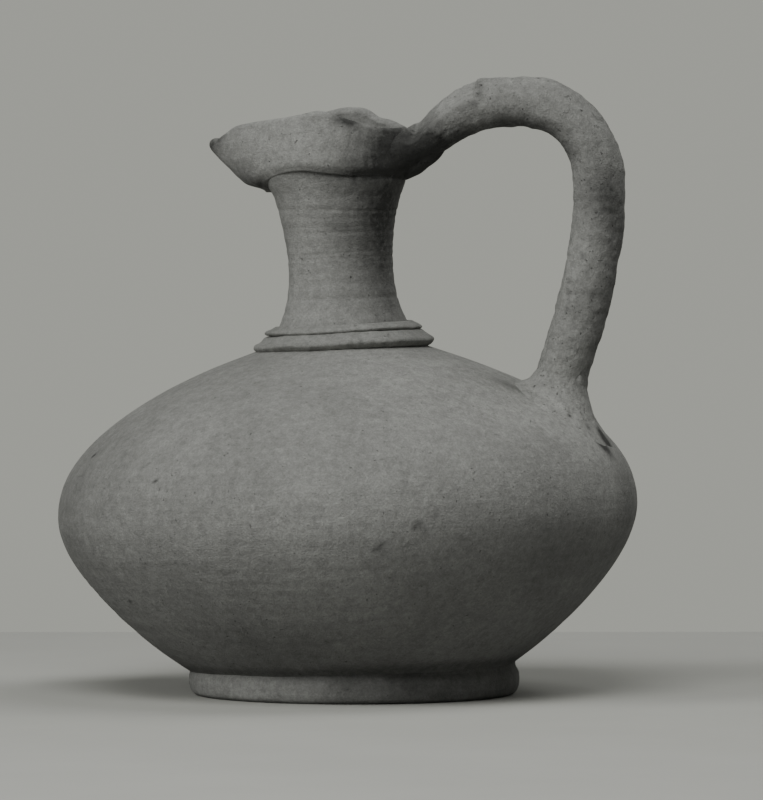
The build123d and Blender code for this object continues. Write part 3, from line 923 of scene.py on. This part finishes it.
# The coil's foot runs straight on from its last free row until it is sunk in the shoulder
FOOT_ROW_COUNT, COIL_SUNK, FAR = 6, 2.5, 60
end_way = (axis[-1] - axis[-8]) / np.linalg.norm(axis[-1] - axis[-8])
keep = over_shoulder(grid).min(1) > 0
coil = grid[keep]
coil_end = reached(coil[-1], end_way, lambda p: -COIL_SUNK - over_shoulder(p), FAR)
share = np.linspace(0, 1, FOOT_ROW_COUNT + 1)[1:, None, None]
foot_rows = coil[-1] + share * (coil_end - coil[-1])
grid = np.concatenate([coil, foot_rows])
stain_and_painted_light = np.concatenate([stain_and_painted_light[keep], np.repeat(stain_and_painted_light[keep][-1:], FOOT_ROW_COUNT, axis=0)])
grain = round_points(10, phi, 0.12 * lengths(grid.mean(1))[:, None])
clay("jug_handle", "handle", "handle_ware", grid, grain, stain_and_painted_light)

# Root pad: a roll of clay pressed up under the coil at the mouth
PAD_LINE = np.array([(21.2, 203.2), (25.2, 206.6), (30.0, 210.2), (35.2, 213.8), (41.0, 217.0)])
PAD_HALF = np.array([3.6, 4.8, 5.0, 4.4, 3.0])
PAD_WIDER, ROOT_PAD_COLUMNS, ROOT_PAD_ROWS = 1.25, 72, 58
along = lengths(PAD_LINE)
share = (1 - np.cos(np.linspace(0, np.pi, ROOT_PAD_ROWS + 2)[1:-1])) / 2
at = along[-1] * share
line = through(along, PAD_LINE, at)
thick = through(along, PAD_HALF, at)
thick = thick * np.sqrt(np.clip(1 - ease(0.55, 1.02, share) ** 2, 0.001, 1))
thick = thick * np.sqrt(np.clip(ease(-0.3, 0.12, share), 0.001, 1))
tangent = np.gradient(line, axis=0)
tangent /= np.linalg.norm(tangent, axis=1, keepdims=True)
normal = np.stack([-tangent[:, 1], 0 * at, tangent[:, 0]], 1)
phi = np.arange(ROOT_PAD_COLUMNS)[None] * TURN / ROOT_PAD_COLUMNS
centre = np.stack([line[:, 0], 0 * at, line[:, 1]], 1)
grid = centre[:, None] + (thick[:, None] * np.cos(phi))[..., None] * normal[:, None]
grid = grid + (PAD_WIDER * thick[:, None] * np.sin(phi))[..., None] * SIDEWAYS
grid = grid + 0.15 * drift(grid, 8, 71)[..., None] * normal[:, None]
grain = round_points(5, phi, 0.2 * at[:, None])
# The root pad takes the handle's painted shade
stain_and_painted_light = spots(grid, HANDLE_PAINTED_SHADE_AND_LIGHT)
clay("jug_handle_root_pad", "handle_root_pad", "handle_ware", grid, grain, stain_and_painted_light)

# Shoulder pad: the coil's foot smeared out into a fan down the shoulder. Reach down the shoulder
# and climb up the coil go by the angle round the coil from its outer edge, in degrees.
PAD_ANGLES = (-180, -120, -60, 0, 60, 120, 180)
PAD_REACH = (8.0, 13.0, 19.0, 17.5, 19.0, 13.0, 8.0)
PAD_CLIMB = (9.0, 12.0, 15.0, 17.0, 15.0, 12.0, 9.0)
# Two dark marks, the body's painted shadow and painted light by the pad, and painted shade at the
# coil's foot
PAD_MARKS_AND_PAINTED_LIGHT = BODY_MARKS_AND_PAINTED_SHADE[:4] + BODY_PAINTED_LIGHT_AND_SHADE[1:3] + ((594, 374, 6, 0.36),)
UPPER_ROWS, LOWER_ROWS = 56, 7
PAD_SUNK, PAD_INSIDE, PAD_BELLY = 1.3, 2.5, 5.0
turned_to = np.degrees(np.mod(phi_coil + np.pi, TURN) - np.pi)
last_ring = coil[-1]
corner = reached(last_ring, end_way, lambda p: -over_shoulder(p), FAR)
around_coil = last_ring - last_ring.mean(0)
around_coil /= np.linalg.norm(around_coil, axis=1, keepdims=True)
pad_reach = through(PAD_ANGLES, PAD_REACH, turned_to)
pad_climb = through(PAD_ANGLES, PAD_CLIMB, turned_to)


def up_the_coil(rise):
    """Points of the coil's side at a distance above its corner with the shoulder: first on the
    straight foot, then between the coil's rows, one row a step."""
    gap = np.linalg.norm(corner - last_ring, axis=1)
    step = np.linalg.norm(coil[-1] - coil[-2], axis=1)
    row = np.clip((rise - gap) / step, 0, len(coil) - 2)
    low, column = row.astype(int), np.arange(HANDLE_COLUMNS)
    share = (row - low)[..., None]
    on_coil = coil[-1 - low, column] * (1 - share) + coil[-2 - low, column] * share
    return np.where((rise < gap)[..., None], corner - rise[..., None] * end_way, on_coil)


def fillet(share):
    """Hollow curve from the coil out to the shoulder: s squared out, (1-s) squared up the coil."""
    share = share[:, None]
    out = pad_reach * share**2 - 0.3 * (1 - share) ** 4
    ground = corner + out[..., None] * around_coil
    ground = ground - over_shoulder(ground)[..., None] * BODY[2]
    return up_the_coil(pad_climb * (1 - share) ** 2) + ground - corner


share = np.sin(np.linspace(0, np.pi / 2, UPPER_ROWS))
upper = fillet(share)
lumps = 0.22 * drift(upper, 9, 81) * (np.sin(np.pi * share) ** 2)[:, None]
upper = upper + lumps[..., None] * (0.6 * around_coil - 0.8 * end_way)
upper = upper - (PAD_SUNK * share**5)[:, None, None] * BODY[2]

# Back under the shoulder from the fan's edge to the inside of the coil
share = np.linspace(1, 0, LOWER_ROWS + 2)[1:-1][:, None, None]
inside = upper[0] - PAD_INSIDE * around_coil
lower = inside + share * (upper[-1] - inside) + PAD_BELLY * np.sin(np.pi * share) * end_way
grid = np.concatenate([upper, lower])
stain_and_painted_light = spots(grid, PAD_MARKS_AND_PAINTED_LIGHT)
clay(
    "jug_handle_shoulder_pad",
    "handle_shoulder_pad",
    "handle_ware",
    grid,
    grid * 0.3,
    stain_and_painted_light,
    ring=True,
)


# Room: a pale table top and a pale wall of light behind it. The jug gets back less light from
# the table than the table shows, because the photograph's flank is dark underneath.
TABLE_BOUNCE, TABLE_TONE = (0.28, 0.28, 0.27, 1.0), (0.50, 0.505, 0.465)
WALL_TONE = (0.375, 0.38, 0.345, 1.0)
FILL_TONE, FILL_STRENGTH = (0.95, 0.97, 1.0, 1.0), 0.02


def table_finish():
    """Pale matte table with a faint unevenness of tone."""
    material = bpy.data.materials.new("pale_table")
    material.use_nodes = True
    tree = material.node_tree
    shader = tree.nodes["Principled BSDF"]
    place = node(tree, "ShaderNodeTexCoord").outputs["Object"]
    tone = ranged(tree, noise(tree, place, 9.0), 0.3, 0.7, 0.97, 1.03)
    scaled = {0: TABLE_TONE, "Scale": tone}
    colour = node(tree, "ShaderNodeVectorMath", scaled, operation="SCALE").outputs[0]
    by_eye = node(tree, "ShaderNodeLightPath").outputs["Is Camera Ray"]
    shares = {0: by_eye, 6: TABLE_BOUNCE, 7: colour}
    mixed = node(tree, "ShaderNodeMix", shares, data_type="RGBA")
    tree.links.new(mixed.outputs[2], shader.inputs["Base Color"])
    shader.inputs["Roughness"].default_value = 0.9
    shader.inputs["Specular IOR Level"].default_value = 0.2
    return material


TABLE_BACK, TABLE_FRONT, TABLE_SIDE, TABLE_THICKNESS = -380.0, 1500.0, 1500.0, 30
corners = [
    in_view(side * TABLE_SIDE, level, near)
    for level in (0, -TABLE_THICKNESS)
    for side, near in ((-1, TABLE_FRONT), (1, TABLE_FRONT), (1, TABLE_BACK), (-1, TABLE_BACK))
]
table_mesh = bpy.data.meshes.new("table")
table_mesh.from_pydata(
    [tuple(corner) for corner in corners],
    [],
    [(0, 1, 2, 3), (7, 6, 5, 4), (0, 4, 5, 1), (1, 5, 6, 2), (2, 6, 7, 3), (3, 7, 4, 0)],
)
table = bpy.data.objects.new("table", table_mesh)
bpy.context.scene.collection.objects.link(table)
table_mesh.materials.append(table_finish())

world = bpy.data.worlds.new("room")
bpy.context.scene.world = world
world.use_nodes = True
tree = world.node_tree
paths = node(tree, "ShaderNodeLightPath").outputs
mirrored = math(tree, "MAXIMUM", paths["Is Glossy Ray"], paths["Is Transmission Ray"])
by_eye = math(tree, "MAXIMUM", paths["Is Camera Ray"], mirrored)
fill = node(tree, "ShaderNodeBackground", {"Color": FILL_TONE, "Strength": FILL_STRENGTH})
wall = node(tree, "ShaderNodeBackground", {"Color": WALL_TONE, "Strength": 1.0})
mixed = node(tree, "ShaderNodeMixShader", {0: by_eye, 1: fill.outputs[0], 2: wall.outputs[0]})
tree.links.new(mixed.outputs[0], tree.nodes["World Output"].inputs["Surface"])


LAMP_SIZE = 1.2
AIM_HEIGHT = 110

# Place to the right of the jug, above the table and towards the eye in millimetres, and watts
LAMPS = {
    "side_window": (-1835, 1227, 1060, 22.0),
    "front_window": (-279, 1894, 1581, 27.0),
    "ceiling": (899, 2335, 0, 9.0),
    "back_window": (1509, 1884, -549, 10.0),
}


def lamp(name, right, up, near, power):
    """Square soft box at a place in the view, turned to the middle of the jug."""
    light = bpy.data.lights.new(name, "AREA")
    light.size = LAMP_SIZE
    light.energy = power
    made = bpy.data.objects.new(name, light)
    made.location = in_view(right, up, near)
    way = in_view(0, AIM_HEIGHT) - made.location
    made.rotation_euler = way.to_track_quat("-Z", "Y").to_euler()
    bpy.context.scene.collection.objects.link(made)


for name, place in LAMPS.items():
    lamp(name, *place)
